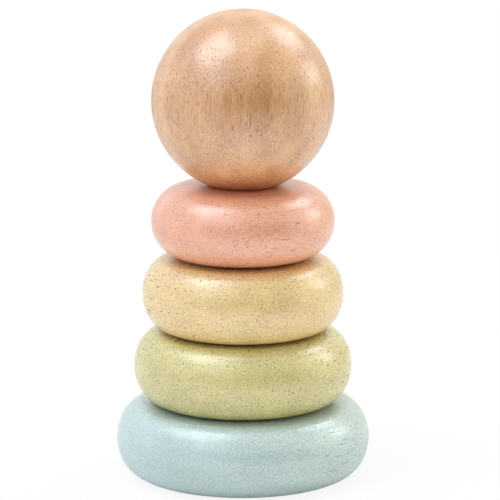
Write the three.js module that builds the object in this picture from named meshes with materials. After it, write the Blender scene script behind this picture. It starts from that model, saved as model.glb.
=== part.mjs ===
// A wooden stacking tower for small children: a turned base ring with a post glued into it, three
// loose rings of falling size threaded on the post, and a drilled ball that caps the stack.
// Millimetres, +Z up. The origin is the middle of the base ring's underside, on the post's axis.
import * as THREE from "three";

// Rings: one thickness and one rounded side for all but the pink one, which is thinner and rounder
const ringThickness = 25;
const pinkThickness = 24.5;
const baseDiameter = 86;
const greenDiameter = 73.9;
const yellowDiameter = 68.1;
const pinkDiameter = 61.8;
const ringSideDepth = 9; // how far the rounded side reaches in from the rim
const pinkSideDepth = 11;
const mouthRadius = 1.6; // rounding where a bore meets a flat face

// Post: a plain dowel with a domed top
const postDiameter = 14;
const postReach = 18; // how far it stands above the top ring, inside the ball
const postDomeHeight = 6;
const postEndChamfer = 1;
const postEndRecess = 0.5; // its lower end stays clear of the table

// Ball: drilled from below, and as wide as the ring it sits on but for a small inset
const ballInset = 0.25;
const ballDiameter = pinkDiameter - 2 * ballInset;
const ballSeatLand = 0.5; // width of the ball's flat that bears on the top ring, outside its mouth
const ballBoreEndGap = 2.5; // room left above the post

// Radial clearances round the post
const glueGap = 0.15;
const play = 2; // a loose fit that a small child can thread

// Fineness of the turned surfaces
const facets = 48;
const sideSteps = 12;
const mouthSteps = 3;
const domeSteps = 6;
const ballSteps = 18;

const postRadius = postDiameter / 2;
const socketRadius = postRadius + glueGap;
const boreRadius = postRadius + play;
const ballRadius = ballDiameter / 2;
const ballSeatRadius = boreRadius + mouthRadius + ballSeatLand;
const quarterTurn = Math.PI / 2;

// Points of a profile, as (radius from the axis, height)
const point = (radius, height) => new THREE.Vector2(radius, height);

function arc(centre, radii, fromAngle, toAngle, steps) {
  const clockwise = toAngle < fromAngle;
  const curve = new THREE.EllipseCurve(centre.x, centre.y, radii.x, radii.y, fromAngle, toAngle, clockwise);
  return curve.getPoints(steps);
}

// Turns a profile, which runs anticlockwise round its material, about the Z axis
function turn(profile) {
  return new THREE.LatheGeometry(profile, facets).rotateX(quarterTurn);
}

// The rounded rim that every ring has, from its underside up to its top
function roundedSide({ diameter, thickness, sideDepth }) {
  const centre = point(diameter / 2 - sideDepth, thickness / 2);
  return arc(centre, point(sideDepth, thickness / 2), -quarterTurn, quarterTurn, sideSteps);
}

function boreMouth(height, fromAngle, toAngle) {
  const centre = point(boreRadius + mouthRadius, height);
  return arc(centre, point(mouthRadius, mouthRadius), fromAngle, toAngle, mouthSteps);
}

// A loose ring: rounded side outside, and a plain bore with two rounded mouths
function ringGeometry(ring) {
  const topMouth = boreMouth(ring.thickness - mouthRadius, quarterTurn, 2 * quarterTurn);
  const lowerMouth = boreMouth(mouthRadius, 2 * quarterTurn, 3 * quarterTurn);
  const start = lowerMouth.at(-1);
  return turn([start, ...roundedSide(ring), ...topMouth, ...lowerMouth]);
}

// The base ring has the same kind of side, and a straight socket right through it for the post
function baseGeometry(ring) {
  const start = point(socketRadius, 0);
  return turn([start, ...roundedSide(ring), point(socketRadius, ring.thickness), start]);
}

function postGeometry(length) {
  const domeFoot = point(0, length - postDomeHeight);
  const dome = arc(domeFoot, point(postRadius, postDomeHeight), 0, quarterTurn, domeSteps);
  const lowerEnd = [point(0, 0), point(postRadius - postEndChamfer, 0), point(postRadius, postEndChamfer)];
  return turn([...lowerEnd, ...dome]);
}

// The ball stands on a narrow flat round the mouth of its blind bore
function ballGeometry() {
  const centre = point(0, Math.sqrt(ballRadius ** 2 - ballSeatRadius ** 2));
  const boreDepth = postReach + ballBoreEndGap;
  const seatAngle = -Math.acos(ballSeatRadius / ballRadius);
  const outside = arc(centre, point(ballRadius, ballRadius), seatAngle, quarterTurn, ballSteps);
  const mouth = boreMouth(mouthRadius, 2 * quarterTurn, 3 * quarterTurn);
  return turn([point(0, boreDepth), point(boreRadius, boreDepth), ...mouth, ...outside]);
}

// Finishes: pastel water-based stain and a clear satin coat over pale, open-pored hardwood
const finish = (color, roughness) => new THREE.MeshStandardMaterial({ color, roughness, metalness: 0 });
const blueStain = finish(0xc3dcdc, 0.42);
const greenStain = finish(0xd6d29a, 0.4);
const yellowStain = finish(0xeacb94, 0.4);
const pinkStain = finish(0xecb29b, 0.38);
const clearCoat = finish(0xdcb085, 0.4);
const bareWood = finish(0xe0bd92, 0.6);

function piece(name, geometry, material, height) {
  const mesh = new THREE.Mesh(geometry, material);
  mesh.name = name;
  mesh.position.z = height;
  return mesh;
}

const lowerRing = { thickness: ringThickness, sideDepth: ringSideDepth };
const baseRing = { ...lowerRing, diameter: baseDiameter };
const looseRings = [
  { ...lowerRing, name: "green_ring", diameter: greenDiameter, material: greenStain },
  { ...lowerRing, name: "yellow_ring", diameter: yellowDiameter, material: yellowStain },
  {
    name: "pink_ring", diameter: pinkDiameter, material: pinkStain,
    thickness: pinkThickness, sideDepth: pinkSideDepth,
  },
];
const stackHeight = looseRings.reduce((height, ring) => height + ring.thickness, baseRing.thickness);
const postLength = stackHeight + postReach - postEndRecess;

// The base and its post stay together; everything above them lifts off
const stand = new THREE.Group();
stand.add(piece("base_ring", baseGeometry(baseRing), blueStain, 0));
stand.add(piece("centre_post", postGeometry(postLength), bareWood, postEndRecess));

const stack = new THREE.Group();
let seatHeight = baseRing.thickness;
for (const ring of looseRings) {
  stack.add(piece(ring.name, ringGeometry(ring), ring.material, seatHeight));
  seatHeight += ring.thickness;
}
stack.add(piece("top_ball", ballGeometry(), clearCoat, seatHeight));

const tower = new THREE.Group();
tower.add(stand, stack);

export default tower;
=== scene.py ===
"""Looks of a wooden stacking tower: turned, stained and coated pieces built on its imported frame.

The file is laid out as an add-on, with settings, one operator for each piece or group of like pieces, one for
the stage, and a sidebar panel. Run as a script, it builds everything in order. Lengths are metres.
"""

import math

import bmesh
import bpy
from bpy.props import FloatProperty, FloatVectorProperty, IntProperty, PointerProperty
from mathutils import Color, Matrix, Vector


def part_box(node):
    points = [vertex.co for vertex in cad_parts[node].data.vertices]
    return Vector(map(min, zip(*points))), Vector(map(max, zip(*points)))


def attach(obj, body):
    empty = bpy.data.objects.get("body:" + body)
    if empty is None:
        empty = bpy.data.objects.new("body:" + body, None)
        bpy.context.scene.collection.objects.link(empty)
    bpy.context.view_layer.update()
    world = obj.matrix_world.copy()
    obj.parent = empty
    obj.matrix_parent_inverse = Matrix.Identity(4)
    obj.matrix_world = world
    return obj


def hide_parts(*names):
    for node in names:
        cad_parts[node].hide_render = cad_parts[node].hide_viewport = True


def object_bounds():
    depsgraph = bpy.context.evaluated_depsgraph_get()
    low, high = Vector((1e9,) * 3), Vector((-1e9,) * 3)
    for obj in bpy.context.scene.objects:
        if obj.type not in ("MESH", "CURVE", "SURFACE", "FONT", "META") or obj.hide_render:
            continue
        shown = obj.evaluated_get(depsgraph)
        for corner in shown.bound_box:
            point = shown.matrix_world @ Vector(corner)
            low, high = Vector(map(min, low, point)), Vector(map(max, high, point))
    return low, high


bl_info = {
    "name": "Wooden stacking tower",
    "version": (1, 0, 0),
    "blender": (4, 5, 0),
    "location": "3D View > Sidebar > Tower",
    "description": "Turns the rings, post and ball of a stacking tower and stains the wood",
    "category": "Object",
}

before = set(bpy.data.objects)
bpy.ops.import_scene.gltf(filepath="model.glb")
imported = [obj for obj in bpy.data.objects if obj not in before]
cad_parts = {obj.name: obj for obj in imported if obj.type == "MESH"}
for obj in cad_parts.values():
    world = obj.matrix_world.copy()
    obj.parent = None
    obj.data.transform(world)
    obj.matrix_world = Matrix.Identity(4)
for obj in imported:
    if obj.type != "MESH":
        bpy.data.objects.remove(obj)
CAD_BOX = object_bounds()

UP = Vector((0, 0, 1))
ORIGIN = Vector((0, 0, 0))
MILLIMETRES = 1000  # in a metre
SAME_PLACE = 1e-5  # points closer than this are one
MOUTH_STEPS = 6  # faces across the rounded mouth of a bore
EDGE_STEPS = 2  # faces across an eased edge
SMOOTH_ANGLE = math.radians(40)  # sharper edges than this stay sharp


# Sizes read from the frame

def points_of(node):
    """The points of a CAD node as (distance from the axis, height)."""
    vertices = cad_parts[node].data.vertices
    return [(math.hypot(v.co.x, v.co.y), v.co.z) for v in vertices]


def foot_of(node):
    """Lowest height of a CAD node, with the smallest and largest radius of its points there."""
    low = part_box(node)[0].z
    radii = [radius for radius, height in points_of(node) if height - low < SAME_PLACE]
    return low, min(radii), max(radii)


def rim_of(node):
    """Largest radius of a turned CAD node."""
    return max(radius for radius, _ in points_of(node))


def side_depth_of(node):
    """How far a ring's rounded side reaches in from its rim to its flat underside."""
    return rim_of(node) - foot_of(node)[2]


def bore_of(node):
    """Radius of the hole through a turned CAD node."""
    return min(radius for radius, _ in points_of(node))


def ball_centre():
    """Height of the ball's centre, from its top and the rim of its flat seat."""
    low, _, seat = foot_of("top_ball")
    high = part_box("top_ball")[1].z
    return (high**2 - low**2 - seat**2) / (2 * (high - low))


def ball_bore_end():
    """Height where the ball's blind bore ends."""
    return min(height for radius, height in points_of("top_ball") if radius < SAME_PLACE)


def ball_bore_radius():
    """Radius of the ball's blind bore."""
    end = ball_bore_end()
    return max(radius for radius, height in points_of("top_ball") if abs(height - end) < SAME_PLACE)


def post_shoulder():
    """Height where the post's straight side turns into its dome."""
    rim = rim_of("centre_post")
    return max(height for radius, height in points_of("centre_post") if rim - radius < SAME_PLACE)


class TowerSizes(bpy.types.PropertyGroup):
    """Sizes of the turned pieces, most of them taken from the frame."""

    side_depth: FloatProperty(
        name="Side depth", description="How far a ring's rounded side reaches in from its rim",
        default=side_depth_of("green_ring"), unit="LENGTH", precision=5)
    pink_side_depth: FloatProperty(
        name="Pink side depth", description="How far the pink ring's rounder side reaches in from its rim",
        default=side_depth_of("pink_ring"), unit="LENGTH", precision=5)
    bore_radius: FloatProperty(
        name="Bore", description="Radius of the hole through a loose ring",
        default=bore_of("green_ring"), unit="LENGTH", precision=5)
    mouth_radius: FloatProperty(
        name="Mouth", description="Rounding where a bore meets a flat face",
        default=foot_of("green_ring")[1] - bore_of("green_ring"), unit="LENGTH", precision=5)
    flat_easing: FloatProperty(
        name="Flat easing", description="How far a ring's flat faces fall off where its rounded side begins",
        default=0.00035, unit="LENGTH", precision=5)
    flat_easing_width: FloatProperty(
        name="Flat easing width", description="Width of the band that falls off",
        default=0.006, unit="LENGTH", precision=5)
    seat_gap: FloatProperty(
        name="Seat gap", description="Air left above a ring, so that stacked faces don't share a plane",
        default=0.00002, unit="LENGTH", precision=5)
    socket_radius: FloatProperty(
        name="Socket", description="Radius of the base ring's hole for the post",
        default=bore_of("base_ring"), unit="LENGTH", precision=5)
    socket_edge: FloatProperty(
        name="Socket edge", description="Easing of the socket's two edges",
        default=0.0004, unit="LENGTH", precision=5)
    post_chamfer: FloatProperty(
        name="Post chamfer", description="Chamfer round the post's lower end",
        default=rim_of("centre_post") - foot_of("centre_post")[2], unit="LENGTH", precision=5)
    post_dome: FloatProperty(
        name="Post dome", description="Height of the post's domed top",
        default=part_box("centre_post")[1].z - post_shoulder(), unit="LENGTH", precision=5)
    ball_bore_radius: FloatProperty(
        name="Ball bore", description="Radius of the blind hole in the ball",
        default=ball_bore_radius(), unit="LENGTH", precision=5)
    ball_bore_end: FloatProperty(
        name="Ball bore end", description="Height where the blind hole in the ball ends",
        default=ball_bore_end(), unit="LENGTH", precision=5)
    lathe_steps: IntProperty(
        name="Lathe steps", description="Faces round a turned piece", default=192, min=48)
    outline_points: IntProperty(
        name="Outline points", description="Points on the full round of an outline", default=96, min=24)


class TowerFinish(bpy.types.PropertyGroup):
    """Colours of the stains and the wood, as a paint chart gives them, the size of the pores and the coat."""

    blue_stain: FloatVectorProperty(
        name="Blue stain", description="Base ring", subtype="COLOR_GAMMA", default=(0.726, 0.812, 0.81))
    green_stain: FloatVectorProperty(
        name="Green stain", description="Largest loose ring", subtype="COLOR_GAMMA",
        default=(0.829, 0.786, 0.512))
    yellow_stain: FloatVectorProperty(
        name="Yellow stain", description="Middle ring", subtype="COLOR_GAMMA", default=(0.917, 0.796, 0.55))
    pink_stain: FloatVectorProperty(
        name="Pink stain", description="Smallest ring", subtype="COLOR_GAMMA", default=(0.932, 0.668, 0.548))
    clear_wood: FloatVectorProperty(
        name="Clear-coated wood", description="Ball", subtype="COLOR_GAMMA", default=(0.85, 0.645, 0.447))
    bare_wood: FloatVectorProperty(
        name="Bare wood", description="Post", subtype="COLOR_GAMMA", default=(0.89, 0.76, 0.59))
    pore_spacing: FloatProperty(
        name="Pore spacing", description="Distance between large pores across the grain, in millimetres",
        default=1.15, min=0.2)
    pore_length: FloatProperty(
        name="Pore length", description="Distance between large pores along the grain, in millimetres",
        default=4.5, min=1)
    pore_radius: FloatProperty(
        name="Pore radius", description="Radius of a large pore, in millimetres", default=0.155, min=0.01)
    wood_roughness: FloatProperty(
        name="Wood roughness", description="Roughness of the wood under its coat", subtype="FACTOR",
        default=0.55, min=0, max=1)
    coat_roughness: FloatProperty(
        name="Coat roughness", description="Roughness of the satin coat", subtype="FACTOR",
        default=0.27, min=0, max=1)
    coat_index: FloatProperty(
        name="Coat index", description="Refractive index of the satin coat, which sets its gloss",
        default=1.95, min=1, max=3)


class TowerStage(bpy.types.PropertyGroup):
    """Camera, soft lamps and surroundings."""

    camera_place: FloatVectorProperty(
        name="Camera", description="Where the camera stands", subtype="XYZ", unit="LENGTH",
        default=(0.0024, -1.0, 0.2882))
    camera_pitch: FloatProperty(
        name="Pitch", description="How far the camera looks down", subtype="ANGLE",
        default=math.radians(11.925))
    lens: FloatProperty(
        name="Lens", description="Focal length in millimetres", default=218.0, min=1, unit="CAMERA")
    left_side: FloatProperty(
        name="Left side", description="Brightness of the white room's left side on the wood",
        default=0.86, min=0)
    right_side: FloatProperty(
        name="Right side", description="Brightness of the white room's right side on the wood",
        default=0.62, min=0)
    ceiling: FloatProperty(
        name="Ceiling", description="Brightness of the white room's ceiling on the wood", default=0.54, min=0)
    key_power: FloatProperty(
        name="Key lamp", unit="POWER", description="Lamp high on the left", default=3.1, min=0)
    wall_power: FloatProperty(
        name="Wall lamp", unit="POWER", description="Lamp wide on the right", default=0.9, min=0)
    rim_power: FloatProperty(
        name="Rim lamp", unit="POWER", description="Lamp low behind on the right", default=0.8, min=0)
    top_power: FloatProperty(
        name="Top lamp", unit="POWER", description="Lamp high behind on the right", default=1.6, min=0)
    overhead_power: FloatProperty(
        name="Overhead lamp", unit="POWER", description="Lamp straight above", default=0.8, min=0)
    front_power: FloatProperty(
        name="Front lamp", unit="POWER", description="Lamp high in front on the left", default=0.7, min=0)
    card_power: FloatProperty(
        name="Card", unit="POWER", description="White card in front of the tower", default=0.09, min=0)
    floor_radius: FloatProperty(
        name="Floor", description="Radius of the floor", default=1.5, unit="LENGTH", min=0.2)


# Modelling at the lathe: an outline in the XZ plane, shaped point by point and spun round the Z axis

def leave_all():
    """Goes to object mode with nothing selected."""
    if bpy.context.mode != "OBJECT":
        bpy.ops.object.mode_set(mode="OBJECT")
    bpy.ops.object.select_all(action="DESELECT")


def start_outline(name, centre, half_width, half_height, count):
    """A round outline of its own half width and half height about a centre on the XZ plane, in edit mode."""
    leave_all()
    bpy.ops.mesh.primitive_circle_add(
        vertices=count, radius=half_width, location=centre, rotation=(math.pi / 2, 0, 0))
    piece = bpy.context.object
    piece.name = name
    piece.data.name = name
    bpy.ops.object.transform_apply(location=True, rotation=True, scale=True)
    bpy.ops.object.mode_set(mode="EDIT")
    bpy.ops.mesh.select_mode(type="VERT")
    bpy.ops.mesh.select_all(action="SELECT")
    bpy.ops.transform.resize(value=(1, 1, half_height / half_width), center_override=centre)
    return piece


def pick(piece, wanted):
    """Selects the points of a piece in edit mode whose place passes the test, and no others."""
    bpy.ops.mesh.select_all(action="DESELECT")
    mesh = bmesh.from_edit_mesh(piece.data)
    found = [point for point in mesh.verts if wanted(point.co)]
    if not found:
        raise ValueError(f"{piece.name} has no point there")
    for point in found:
        point.select_set(True)
    mesh.select_flush_mode()
    bmesh.update_edit_mesh(piece.data)


def at(radius, height):
    """Test for a point of the outline at a radius and a height."""
    return lambda place: math.hypot(place.x - radius, place.z - height) < SAME_PLACE


def lowest_point(piece):
    """Radius and height of the lowest point of the outline."""
    points = bmesh.from_edit_mesh(piece.data).verts
    lowest = min(points, key=lambda point: point.co.z)
    return lowest.co.x, lowest.co.z


def cut_away(piece, unwanted):
    """Deletes the points of the outline that pass the test."""
    pick(piece, unwanted)
    bpy.ops.mesh.delete(type="VERT")


def draw_on(piece, start, end):
    """Draws the outline on from the point at start, straight to end, both as (radius, height)."""
    pick(piece, at(*start))
    step = (end[0] - start[0], 0, end[1] - start[1])
    bpy.ops.mesh.extrude_vertices_move(TRANSFORM_OT_translate={"value": step})


def close_between(piece, first, second):
    """Joins two ends of the outline with a straight edge."""
    pick(piece, lambda place: at(*first)(place) or at(*second)(place))
    bpy.ops.mesh.edge_face_add()


def round_off(piece, corners, radius, steps):
    """Rounds corners of the outline, or cuts them straight with one step."""
    pick(piece, lambda place: any(at(*corner)(place) for corner in corners))
    bpy.ops.mesh.bevel(offset_type="OFFSET", offset=radius, segments=steps, affect="VERTICES")


def spin_round(piece, steps):
    """Spins the outline once round the Z axis into a closed, smooth piece, and leaves edit mode."""
    bpy.ops.mesh.select_all(action="SELECT")
    bpy.ops.mesh.spin(steps=steps, angle=2 * math.pi, center=ORIGIN, axis=UP)
    bpy.ops.mesh.select_all(action="SELECT")
    bpy.ops.mesh.remove_doubles(threshold=SAME_PLACE)
    bpy.ops.mesh.normals_make_consistent(inside=False)
    if not all(edge.is_manifold for edge in bmesh.from_edit_mesh(piece.data).edges):
        raise ValueError(f"{piece.name} isn't closed")
    bpy.ops.object.mode_set(mode="OBJECT")
    bpy.ops.object.shade_smooth_by_angle(angle=SMOOTH_ANGLE)


def turn_ring(name, node, sizes, side_depth, bore, mouth, mouth_steps):
    """A ring: its rounded side, two flat faces drawn in to a bore, and a rounding at both of its mouths."""
    low, high = (corner.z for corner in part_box(node))
    high -= sizes.seat_gap
    side_centre = rim_of(node) - side_depth
    half_height = (high - low) / 2 - sizes.flat_easing
    middle = (low + high) / 2
    centre = Vector((side_centre, 0, middle))
    piece = start_outline(name, centre, side_depth, half_height, sizes.outline_points)
    cut_away(piece, lambda place: place.x < side_centre - SAME_PLACE)
    flat_rim = side_centre - sizes.flat_easing_width
    for height, side_end in ((low, middle - half_height), (high, middle + half_height)):
        draw_on(piece, (side_centre, side_end), (flat_rim, height))
        draw_on(piece, (flat_rim, height), (bore, height))
    close_between(piece, (bore, low), (bore, high))
    round_off(piece, [(bore, low), (bore, high)], mouth, mouth_steps)
    spin_round(piece, sizes.lathe_steps)
    return piece


def place_on_frame(piece, node, body, material):
    """Gives a finished piece its material and puts it on the frame in place of its CAD node."""
    piece.data.materials.clear()
    piece.data.materials.append(material)
    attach(piece, body)
    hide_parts(node)


# Shader nodes

MIX_INPUTS = (0, 6, 7)  # sockets of a mix node for colours: the amount, the first and the second
MIX_RESULT = 2


def add_node(tree, kind, options=None, inputs=None):
    """Adds a node, with its options set and its named inputs set or joined."""
    node = tree.nodes.new(kind)
    for option, value in (options or {}).items():
        setattr(node, option, value)
    for name, value in (inputs or {}).items():
        feed(tree, value, node.inputs[name])
    return node


def feed(tree, value, socket):
    """Joins another node's output to an input, or sets the input to a plain value."""
    if isinstance(value, bpy.types.NodeSocket):
        tree.links.new(value, socket)
    else:
        socket.default_value = value


def math_node(tree, kind, operation, values):
    """A math or vector math node with its inputs set or joined in order."""
    node = add_node(tree, kind, {"operation": operation})
    for value, socket in zip(values, node.inputs):
        feed(tree, value, socket)
    return node


def calculate(tree, operation, *values):
    """A math node's result."""
    return math_node(tree, "ShaderNodeMath", operation, values).outputs[0]


def calculate_vector(tree, operation, *values):
    """A vector math node's result."""
    return math_node(tree, "ShaderNodeVectorMath", operation, values).outputs[0]


def measure(tree, operation, *values):
    """A plain number from a vector math node, such as a length or a dot product."""
    return math_node(tree, "ShaderNodeVectorMath", operation, values).outputs["Value"]


def remap(tree, value, start, end, low, high, smooth=False):
    """A value taken from one range to another and held there."""
    kind = "SMOOTHSTEP" if smooth else "LINEAR"
    limits = {"Value": value, "From Min": start, "From Max": end, "To Min": low, "To Max": high}
    return add_node(tree, "ShaderNodeMapRange", {"interpolation_type": kind}, limits).outputs[0]


def mix_colours(tree, amount, first, second):
    """A colour between two, by an amount from 0 to 1."""
    node = add_node(tree, "ShaderNodeMix", {"data_type": "RGBA"})
    for socket, value in zip(MIX_INPUTS, (amount, first, second)):
        feed(tree, value, node.inputs[socket])
    return node.outputs[MIX_RESULT]


def mix_values(tree, amount, first, second):
    """A value between two, by an amount from 0 to 1."""
    return calculate(tree, "MULTIPLY_ADD", amount, calculate(tree, "SUBTRACT", second, first), first)


def painted(colour, brightness=1.0):
    """A chart colour as light, with its brightness changed, and opaque."""
    light = Color(colour).from_srgb_to_scene_linear()
    return (light.r * brightness, light.g * brightness, light.b * brightness, 1.0)


# Wood

BEND_SCALE = 0.03  # bends of the fibres to a millimetre
BEND_WIDTH = 4.0  # how far they bend across the grain, in millimetres
FIBRE_SIZE = (0.5, 14.0)  # size of each kind of tone across and along the grain, in millimetres
SPECKLE_SIZE = (0.32, 0.9)
BAND_SIZE = (8.0, 120.0)
PORE_BAND_SIZE = (6.0, 60.0)
PALE = 1.12  # brightness of the wood between its fibres
NARROW_PORES = 0.2  # share of the pores that are as narrow as pores get
NARROWEST_PORE = 0.25  # widths of pores, as shares of the radius that is set
WIDEST_PORE = 1.25
PORE_CORE = 0.7  # how much of a pore's width is fully dark
PORE_END = 0.35  # how far from a pore's middle its ends start to fade, as a share of its length
SMALL_SPACING = 0.38  # small pores, as shares of the large ones
SMALL_LENGTH = 0.6
SMALL_WIDTH = 0.45
SMALL_SHADE = 0.55
SMALL_DEPTH = 0.6
PORE_BAND_TONES = (0.35, 0.6)  # tones between which the large pores go from faint to fully dark
FAINT_PORES = 0.6  # how dark they are at their faintest
RELIEF_DEPTH = 0.00015  # depth of the pits in metres
RELIEF_STRENGTH = 0.8
RIPPLE = 0.35  # how far the coat follows the fibres, as a share of the pits' depth
PORE_ROUGHNESS = 0.9
PORE_COAT = 0.15  # share of the coat that is left inside a pore


def grain_space(tree, grain, offset):
    """Object coordinates in millimetres, turned so that Z runs along the grain, with bent fibres."""
    place = add_node(tree, "ShaderNodeTexCoord").outputs["Object"]
    turn = Vector(grain).rotation_difference(UP).to_euler()
    along = add_node(tree, "ShaderNodeMapping", {"vector_type": "POINT"}, {
        "Vector": place, "Location": offset, "Rotation": turn, "Scale": (MILLIMETRES,) * 3}).outputs[0]
    drift = add_node(tree, "ShaderNodeTexNoise", {}, {"Vector": along, "Scale": BEND_SCALE, "Detail": 2.0})
    centred = calculate_vector(tree, "SUBTRACT", drift.outputs["Color"], (0.5, 0.5, 0.5))
    bend = calculate_vector(tree, "MULTIPLY", centred, (BEND_WIDTH, BEND_WIDTH, 0.0))
    return calculate_vector(tree, "ADD", along, bend)


def stretched(tree, space, across, along):
    """Grain space divided by one spacing across the grain and another along it."""
    return calculate_vector(tree, "DIVIDE", space, (across, across, along))


def pore_mask(tree, space, spacing, length, radius):
    """1 inside pores, 0 between them: dots on end grain and dashes on long grain, each of its own width."""
    place = stretched(tree, space, spacing, length)
    cells = add_node(tree, "ShaderNodeTexVoronoi", {"feature": "F1"}, {
        "Vector": place, "Scale": 1.0, "Randomness": 1.0})
    offset = calculate_vector(tree, "SUBTRACT", place, cells.outputs["Position"])
    across = measure(tree, "LENGTH", calculate_vector(tree, "MULTIPLY", offset, (spacing, spacing, 0)))
    along = measure(tree, "LENGTH", calculate_vector(tree, "MULTIPLY", offset, (0, 0, 1)))
    chance = add_node(tree, "ShaderNodeSeparateColor", {}, {"Color": cells.outputs["Color"]}).outputs[0]
    width = remap(tree, chance, NARROW_PORES, 1.0, NARROWEST_PORE * radius, WIDEST_PORE * radius)
    inside = remap(tree, calculate(tree, "DIVIDE", across, width), 1.0, PORE_CORE, 0.0, 1.0, smooth=True)
    ends = remap(tree, along, 0.5, PORE_END, 0.0, 1.0, smooth=True)
    return calculate(tree, "MULTIPLY", inside, ends)


def tone_noise(tree, space, size, detail=1.0):
    """Noise from 0 to 1 with its own size across and along the grain."""
    vector = stretched(tree, space, *size)
    noise = add_node(tree, "ShaderNodeTexNoise", {}, {"Vector": vector, "Scale": 1.0, "Detail": detail})
    return noise.outputs[0]


class WoodLook:
    """How one piece's wood lies and how much of it shows through its finish."""

    def __init__(
            self, grain, offset, deep, pores, pore_shade, fibres, speckle, bands, coat, pore_width=1.0):
        self.grain = grain  # direction of the grain
        self.offset = offset  # where in the plank the piece was cut, in millimetres
        self.deep = deep  # the deeper colour along the fibres, as a factor on each channel
        self.pores = pores  # how dark the pores are
        self.pore_width = pore_width  # how wide the pores are, as a factor
        self.pore_shade = pore_shade  # colour inside the pores
        self.fibres = fibres  # strength of fine streaks
        self.speckle = speckle  # strength of the finest mottling
        self.bands = bands  # strength of broad bands
        self.coat = coat  # how much of the satin coat there is


def wood_material(name, colour, look, finish):
    """Stained or clear-coated open-pored wood."""
    material = bpy.data.materials.new(name)
    material.use_nodes = True
    tree = material.node_tree
    tree.nodes.clear()
    space = grain_space(tree, look.grain, look.offset)
    radius = look.pore_width * finish.pore_radius
    large = pore_mask(tree, space, finish.pore_spacing, finish.pore_length, radius)
    small = pore_mask(
        tree, space, SMALL_SPACING * finish.pore_spacing, SMALL_LENGTH * finish.pore_length,
        SMALL_WIDTH * radius)
    fibres = tone_noise(tree, space, FIBRE_SIZE, detail=3.0)
    speckle = tone_noise(tree, space, SPECKLE_SIZE)
    bands = tone_noise(tree, space, BAND_SIZE)
    pore_bands = tone_noise(tree, space, PORE_BAND_SIZE)
    density = remap(tree, pore_bands, *PORE_BAND_TONES, FAINT_PORES, 1.0)

    # Pale between the fibres, deeper along them
    depth = 0.5
    for tone, strength in ((fibres, look.fibres), (speckle, look.speckle), (bands, look.bands)):
        depth = calculate(tree, "MULTIPLY_ADD", calculate(tree, "SUBTRACT", tone, 0.5), strength, depth)
    depth = remap(tree, depth, 0.0, 1.0, 0.0, 1.0)
    pale = painted(colour, PALE)
    deep = tuple(channel * factor for channel, factor in zip(painted(colour), (*look.deep, 1.0)))
    wood = mix_colours(tree, depth, pale, deep)

    # Pores, darker in some bands than in others
    large_shade = calculate(tree, "MULTIPLY", calculate(tree, "MULTIPLY", large, density), look.pores)
    small_shade = calculate(tree, "MULTIPLY", small, SMALL_SHADE * look.pores)
    shade = calculate(tree, "MAXIMUM", large_shade, small_shade)
    coloured = mix_colours(tree, shade, wood, painted(look.pore_shade))

    # The coat sinks into the pores and follows the fibres a little
    pits = calculate(tree, "MAXIMUM", large, calculate(tree, "MULTIPLY", small, SMALL_DEPTH))
    ripple = calculate(tree, "ADD", fibres, speckle)
    relief = calculate(tree, "MULTIPLY_ADD", ripple, RIPPLE, calculate(tree, "MULTIPLY", pits, -1.0))
    bump = add_node(tree, "ShaderNodeBump", {}, {
        "Strength": RELIEF_STRENGTH, "Distance": RELIEF_DEPTH, "Height": relief})
    rough = remap(tree, pits, 0.0, 1.0, finish.wood_roughness, PORE_ROUGHNESS)
    coat = remap(tree, pits, 0.0, 1.0, look.coat, PORE_COAT * look.coat) if look.coat else 0.0
    shader = add_node(tree, "ShaderNodeBsdfPrincipled", {}, {
        "Base Color": coloured, "Roughness": rough, "Normal": bump.outputs[0],
        "Coat Weight": coat, "Coat Roughness": finish.coat_roughness, "Coat IOR": finish.coat_index,
        "Coat Normal": bump.outputs[0]})
    output = add_node(tree, "ShaderNodeOutputMaterial")
    tree.links.new(shader.outputs[0], output.inputs["Surface"])
    return material


BASE_LOOK = WoodLook(
    grain=(-0.6, -0.8, 0.05), offset=(40, 10, 0), deep=(0.80, 0.83, 0.83), pores=0.5,
    pore_shade=(0.40, 0.47, 0.46), fibres=1.8, speckle=3.4, bands=0.9, coat=1.0)
POST_LOOK = WoodLook(
    grain=(0, 0, 1), offset=(0, 70, 0), deep=(0.80, 0.74, 0.66), pores=0.55,
    pore_shade=(0.50, 0.34, 0.20), fibres=1.4, speckle=0.8, bands=0.8, coat=0.0)
# The ball's offset lays a broad dark band across its front right: partly the wood's own figure, partly
# painted shade that darkens that side of the ball
BALL_LOOK = WoodLook(
    grain=(0.0, 0.08, 1.0), offset=(43, 133, 0), deep=(0.76, 0.61, 0.47), pores=0.85,
    pore_shade=(0.52, 0.26, 0.02), fibres=1.9, speckle=1.2, bands=2.0, coat=1.0)
GREEN_LOOK = WoodLook(
    grain=(-0.25, -0.97, 0.02), offset=(90, 55, 0), deep=(0.78, 0.75, 0.70), pores=1.0,
    pore_shade=(0.26, 0.17, 0.0), fibres=2.0, speckle=2.4, bands=1.1, coat=1.0, pore_width=1.1)
YELLOW_LOOK = WoodLook(
    grain=(0.3, -0.95, 0.03), offset=(140, 20, 0), deep=(0.80, 0.75, 0.68), pores=1.0,
    pore_shade=(0.42, 0.20, 0.0), fibres=2.0, speckle=2.4, bands=1.1, coat=1.0, pore_width=1.1)
PINK_LOOK = WoodLook(
    grain=(-0.85, -0.5, 0.04), offset=(200, 80, 0), deep=(0.84, 0.77, 0.72), pores=0.65,
    pore_shade=(0.54, 0.20, 0.06), fibres=1.9, speckle=1.7, bands=1.1, coat=1.0)

# Each loose ring: its CAD node and body, the size that its side has, its material slot and its look
LOOSE_RINGS = (
    ("green_ring", "side_depth", "green_stain", GREEN_LOOK),
    ("yellow_ring", "side_depth", "yellow_stain", YELLOW_LOOK),
    ("pink_ring", "pink_side_depth", "pink_stain", PINK_LOOK),
)


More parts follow.
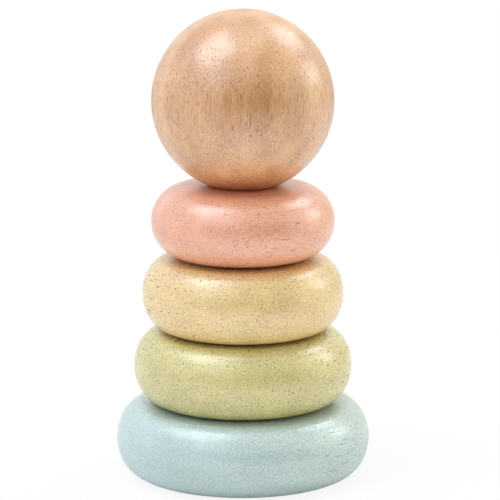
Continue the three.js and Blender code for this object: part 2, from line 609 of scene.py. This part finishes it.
class TurnBaseRing(bpy.types.Operator):
    """Turns the base ring, with a straight socket for the post"""

    bl_idname = "tower.turn_base_ring"
    bl_label = "Turn Base Ring"

    def execute(self, context):
        sizes = context.scene.tower_sizes
        finish = context.scene.tower_finish
        piece = turn_ring(
            "blue_base_ring", "base_ring", sizes, sizes.side_depth, sizes.socket_radius,
            sizes.socket_edge, EDGE_STEPS)
        material = wood_material("blue_stained_wood", finish.blue_stain, BASE_LOOK, finish)
        place_on_frame(piece, "base_ring", "stand", material)
        return {"FINISHED"}


class TurnPost(bpy.types.Operator):
    """Turns the post, a dowel with a chamfered foot and a domed top"""

    bl_idname = "tower.turn_post"
    bl_label = "Turn Post"

    def execute(self, context):
        sizes = context.scene.tower_sizes
        finish = context.scene.tower_finish
        low, high = (corner.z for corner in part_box("centre_post"))
        radius = rim_of("centre_post")
        shoulder = high - sizes.post_dome
        centre = Vector((0, 0, shoulder))
        piece = start_outline("dowel_post", centre, radius, sizes.post_dome, sizes.outline_points)
        cut_away(piece, lambda place: place.x < -SAME_PLACE or place.z < shoulder - SAME_PLACE)
        draw_on(piece, (radius, shoulder), (radius, low))
        draw_on(piece, (radius, low), (0, low))
        round_off(piece, [(radius, low)], sizes.post_chamfer, steps=1)
        spin_round(piece, sizes.lathe_steps // 2)
        material = wood_material("bare_dowel_wood", finish.bare_wood, POST_LOOK, finish)
        place_on_frame(piece, "centre_post", "stand", material)
        return {"FINISHED"}


class TurnLooseRings(bpy.types.Operator):
    """Turns the three loose rings, with round-mouthed bores"""

    bl_idname = "tower.turn_loose_rings"
    bl_label = "Turn Loose Rings"

    def execute(self, context):
        sizes = context.scene.tower_sizes
        finish = context.scene.tower_finish
        for node, side_depth, slot, look in LOOSE_RINGS:
            piece = turn_ring(
                f"stained_{node}", node, sizes, getattr(sizes, side_depth), sizes.bore_radius,
                sizes.mouth_radius, MOUTH_STEPS)
            material = wood_material(f"{slot}ed_wood", getattr(finish, slot), look, finish)
            place_on_frame(piece, node, node, material)
        return {"FINISHED"}


class TurnBall(bpy.types.Operator):
    """Turns the ball, with a seat flat and a blind bore from below"""

    bl_idname = "tower.turn_ball"
    bl_label = "Turn Ball"

    def execute(self, context):
        sizes = context.scene.tower_sizes
        finish = context.scene.tower_finish
        low, _, seat = foot_of("top_ball")
        centre = Vector((0, 0, ball_centre()))
        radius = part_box("top_ball")[1].z - centre.z
        bore = sizes.ball_bore_radius
        piece = start_outline("clear_ball", centre, radius, radius, 2 * sizes.outline_points)
        cut_away(piece, lambda place: place.x < -SAME_PLACE or place.z < low + SAME_PLACE)
        draw_on(piece, lowest_point(piece), (seat, low))
        draw_on(piece, (seat, low), (bore, low))
        draw_on(piece, (bore, low), (bore, sizes.ball_bore_end))
        draw_on(piece, (bore, sizes.ball_bore_end), (0, sizes.ball_bore_end))
        round_off(piece, [(bore, low)], sizes.mouth_radius, MOUTH_STEPS)
        spin_round(piece, sizes.lathe_steps)
        material = wood_material("clear_coated_wood", finish.clear_wood, BALL_LOOK, finish)
        place_on_frame(piece, "top_ball", "ball", material)
        return {"FINISHED"}


# Stage

LAMP_DISTANCE = 0.9  # from the tower's middle
COOL_LIGHT = (0.95, 1.0, 1.07)
WARM_LIGHT = (1.04, 1.0, 0.82)
WHITE_LIGHT = (1.0, 1.0, 1.0)
TINT_EDGE = 0.8  # how far to the side a direction points where the room is fully cool or warm
CEILING_EDGE = (0.1, 0.75)  # heights of a direction between which the ceiling comes up in the coat
LEFT_SHEEN = 0.9  # brightness of the room's left and back in the coat
BACK_SHEEN = 1.05
RIGHT_FOCUS = 8.0  # how narrow the bright patch on the room's right is in the coat
FLOOR_SIDES = 96
FLOOR_DROP = 0.0001  # how far the floor lies below the tower
FLOOR_GREY = (0.86, 0.86, 0.86, 1)
NEAR_WHITE = 0.88  # how much of the floor's look is plain white next to the tower
FADE_START = 0.05  # distance where the floor starts to fade into plain white
FADE_END = 0.25  # distance where it is plain white, as a share of its radius
FLOOR_SHEEN = 0.2  # how white the floor is in the coat
CARD_PLACE = Vector((0, -0.16, 0.001))
CARD_SIZE = (0.4, 0.16)
SENSOR_WIDTH = 36  # millimetres


def add_softbox(name, place, back, size, power, tint):
    """A soft lamp of a width and a height at a place, with its back to a direction."""
    lamp = bpy.data.lights.new(name, "AREA")
    lamp.shape = "RECTANGLE"
    lamp.size, lamp.size_y = size
    lamp.energy = power
    lamp.color = tint
    holder = bpy.data.objects.new(name, lamp)
    bpy.context.scene.collection.objects.link(holder)
    holder.location = place
    holder.rotation_euler = back.to_track_quat("Z", "Y").to_euler()
    holder.visible_camera = False


def white_surroundings(stage):
    """A white room that lights the wood from its sides and ceiling, and whose dark front the coat mirrors."""
    world = bpy.data.worlds.new("white_room")
    bpy.context.scene.world = world
    world.use_nodes = True
    tree = world.node_tree
    tree.nodes.clear()
    direction = add_node(tree, "ShaderNodeTexCoord").outputs["Generated"]
    left, right, back, up = (
        remap(tree, measure(tree, "DOT_PRODUCT", direction, side), 0.0, 1.0, 0.0, 1.0)
        for side in ((-1, 0, 0), (1, 0, 0), (0, 1, 0), UP))
    soft = calculate(tree, "MULTIPLY", left, stage.left_side)
    soft = calculate(tree, "MULTIPLY_ADD", right, stage.right_side, soft)
    soft = calculate(tree, "MULTIPLY_ADD", up, stage.ceiling, soft)
    sheen = remap(tree, up, *CEILING_EDGE, 0.0, 1.0, smooth=True)
    sheen = calculate(tree, "MULTIPLY_ADD", left, LEFT_SHEEN, sheen)
    sheen = calculate(tree, "MULTIPLY_ADD", back, BACK_SHEEN, sheen)
    sheen = calculate(tree, "ADD", calculate(tree, "POWER", right, RIGHT_FOCUS), sheen)
    mirrored = calculate(tree, "MINIMUM", sheen, 1.0)
    path = add_node(tree, "ShaderNodeLightPath")
    lit = mix_values(tree, path.outputs["Is Glossy Ray"], soft, mirrored)
    seen = calculate(tree, "MAXIMUM", path.outputs["Is Camera Ray"], path.outputs["Is Transmission Ray"])
    strength = mix_values(tree, seen, lit, 1.0)

    # Cooler from the left, warmer from the right
    sideways = remap(
        tree, measure(tree, "DOT_PRODUCT", direction, (1, 0, 0)), -TINT_EDGE, TINT_EDGE, 0.0, 1.0)
    tint = mix_colours(tree, sideways, (*COOL_LIGHT, 1), (*WARM_LIGHT, 1))
    colour = mix_colours(tree, seen, tint, (1, 1, 1, 1))
    shader = add_node(tree, "ShaderNodeBackground", {}, {"Color": colour, "Strength": strength})
    output = add_node(tree, "ShaderNodeOutputWorld")
    tree.links.new(shader.outputs[0], output.inputs["Surface"])


def floor_material(radius):
    """A white floor that keeps a faint shadow near the tower and fades into the white room."""
    material = bpy.data.materials.new("white_floor")
    material.use_nodes = True
    tree = material.node_tree
    tree.nodes.clear()
    matt = add_node(tree, "ShaderNodeBsdfDiffuse", {}, {"Color": FLOOR_GREY})
    white = add_node(tree, "ShaderNodeEmission", {}, {"Color": (1, 1, 1, 1), "Strength": 1.0})
    place = add_node(tree, "ShaderNodeTexCoord").outputs["Object"]
    distance = measure(tree, "LENGTH", place)
    fade = remap(tree, distance, FADE_START, FADE_END * radius, NEAR_WHITE, 1.0, smooth=True)
    path = add_node(tree, "ShaderNodeLightPath")
    reflected = calculate(tree, "MULTIPLY", path.outputs["Is Glossy Ray"], FLOOR_SHEEN)
    direct = calculate(tree, "MAXIMUM", path.outputs["Is Camera Ray"], path.outputs["Is Transmission Ray"])
    whiteness = calculate(tree, "MULTIPLY", fade, calculate(tree, "MAXIMUM", direct, reflected))
    blend = add_node(tree, "ShaderNodeMixShader")
    feed(tree, whiteness, blend.inputs[0])
    tree.links.new(matt.outputs[0], blend.inputs[1])
    tree.links.new(white.outputs[0], blend.inputs[2])
    output = add_node(tree, "ShaderNodeOutputMaterial")
    tree.links.new(blend.outputs[0], output.inputs["Surface"])
    return material


class SetStage(bpy.types.Operator):
    """Lays the white floor and sets the lamps, the surroundings and the camera"""

    bl_idname = "tower.set_stage"
    bl_label = "Set Stage"

    def execute(self, context):
        stage = context.scene.tower_stage
        leave_all()
        bpy.ops.mesh.primitive_circle_add(
            vertices=FLOOR_SIDES, radius=stage.floor_radius, fill_type="NGON",
            location=(0, 0, CAD_BOX[0].z - FLOOR_DROP))
        floor = context.object
        floor.name = "floor"
        floor.data.materials.append(floor_material(stage.floor_radius))

        white_surroundings(stage)
        middle = (CAD_BOX[0] + CAD_BOX[1]) / 2
        # Each lamp's name, its direction from the tower's middle, its width, its power and its tint
        around = (
            ("key_lamp", (-0.46, -0.10, 0.88), 0.55, stage.key_power, COOL_LIGHT),
            ("wall_lamp", (0.95, -0.10, 0.30), 0.8, stage.wall_power, WARM_LIGHT),
            ("rim_lamp", (0.88, 0.30, 0.37), 0.28, stage.rim_power, COOL_LIGHT),
            ("top_lamp", (0.50, 0.45, 0.74), 0.4, stage.top_power, COOL_LIGHT),
            ("overhead_lamp", (0.0, 0.05, 1.0), 0.6, stage.overhead_power, COOL_LIGHT),
            ("front_lamp", (-0.45, -0.60, 0.66), 0.5, stage.front_power, COOL_LIGHT),
        )
        for name, direction, size, power, tint in around:
            towards = Vector(direction).normalized()
            add_softbox(name, middle + LAMP_DISTANCE * towards, towards, (size, size), power, tint)
        add_softbox("white_card", CARD_PLACE, -UP, CARD_SIZE, stage.card_power, WHITE_LIGHT)

        camera = bpy.data.cameras.new("camera")
        camera.lens = stage.lens
        camera.sensor_width = SENSOR_WIDTH
        holder = bpy.data.objects.new("camera", camera)
        context.scene.collection.objects.link(holder)
        holder.location = stage.camera_place
        holder.rotation_euler = (math.pi / 2 - stage.camera_pitch, 0, 0)
        context.scene.camera = holder
        context.scene.view_settings.view_transform = "Standard"
        return {"FINISHED"}


class TowerPanel(bpy.types.Panel):
    """Lists the steps of the tower and their settings"""

    bl_idname = "VIEW3D_PT_tower"
    bl_label = "Stacking Tower"
    bl_space_type = "VIEW_3D"
    bl_region_type = "UI"
    bl_category = "Tower"

    def draw(self, context):
        for step in STEPS:
            self.layout.operator(step.bl_idname)
        for group in SETTINGS:
            box = self.layout.box()
            settings = getattr(context.scene, group)
            for name in settings.bl_rna.properties.keys():
                if name not in ("rna_type", "name"):
                    box.prop(settings, name)


SETTINGS = {"tower_sizes": TowerSizes, "tower_finish": TowerFinish, "tower_stage": TowerStage}
STEPS = (TurnBaseRing, TurnPost, TurnLooseRings, TurnBall, SetStage)
CLASSES = (*SETTINGS.values(), *STEPS, TowerPanel)


def register():
    for kind in CLASSES:
        bpy.utils.register_class(kind)
    for name, kind in SETTINGS.items():
        setattr(bpy.types.Scene, name, PointerProperty(type=kind))


def unregister():
    for name in SETTINGS:
        delattr(bpy.types.Scene, name)
    for kind in reversed(CLASSES):
        bpy.utils.unregister_class(kind)


def main():
    """Builds every piece and the stage."""
    register()
    bpy.ops.tower.turn_base_ring()
    bpy.ops.tower.turn_post()
    bpy.ops.tower.turn_loose_rings()
    bpy.ops.tower.turn_ball()
    bpy.ops.tower.set_stage()
    bpy.context.view_layer.update()


if __name__ == "__main__":
    main()
